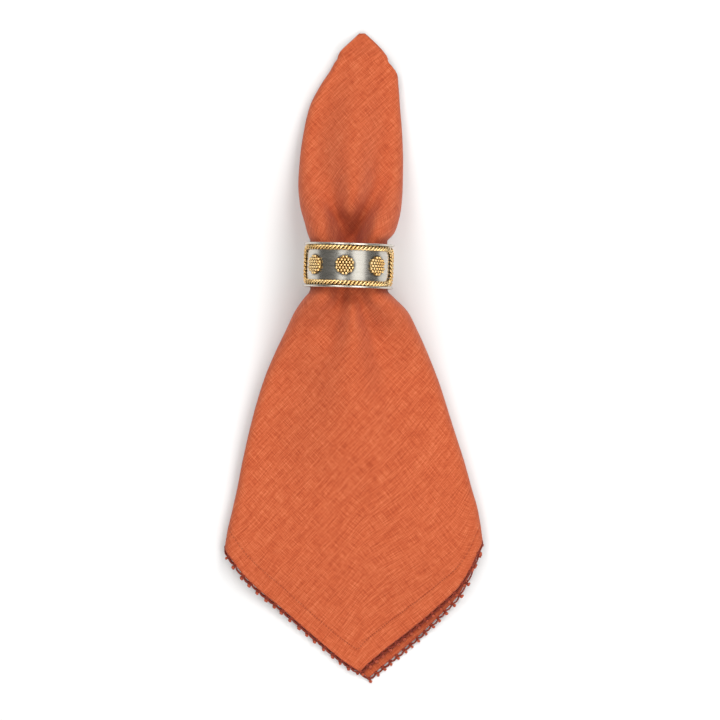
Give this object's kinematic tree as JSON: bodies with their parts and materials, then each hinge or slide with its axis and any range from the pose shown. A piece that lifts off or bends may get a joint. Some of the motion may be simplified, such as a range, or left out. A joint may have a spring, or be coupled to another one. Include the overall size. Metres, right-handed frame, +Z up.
{
  "type": "napkin in a ring",
  "caption": "Square linen cloth with crocheted edging, folded, its side corners tucked behind, drawn through a round metal ring with gilt rope and beaded trim.",
  "frame": {"origin": "under the middle of the object's box, on the surface it lies on", "axes": "+Y towards the napkin's closed, pointed corner, along the ring's bore; +Z up, away from the table; +X to the right when the closed corner points away"},
  "size_m": [0.1436, 0.3626, 0.05],
  "materials": {
    "linen": "plain-woven linen with slubs, terracotta, matt",
    "edging_thread": "crocheted cotton cord, dark brick red",
    "pewter": "brushed along the band, softly reflective",
    "gilt": "gilt cast trim, granulated and twisted"
  },
  "bodies": {
    "root": {"napkin": "linen", "lace_edging": "edging_thread", "ring_band": "pewter", "rope_front": "gilt", "rope_back": "gilt", "boss_front_1": "gilt", "boss_front_2": "gilt", "boss_front_3": "gilt", "boss_back_1": "gilt", "boss_back_2": "gilt", "boss_back_3": "gilt"}
  },
  "joints": []
}
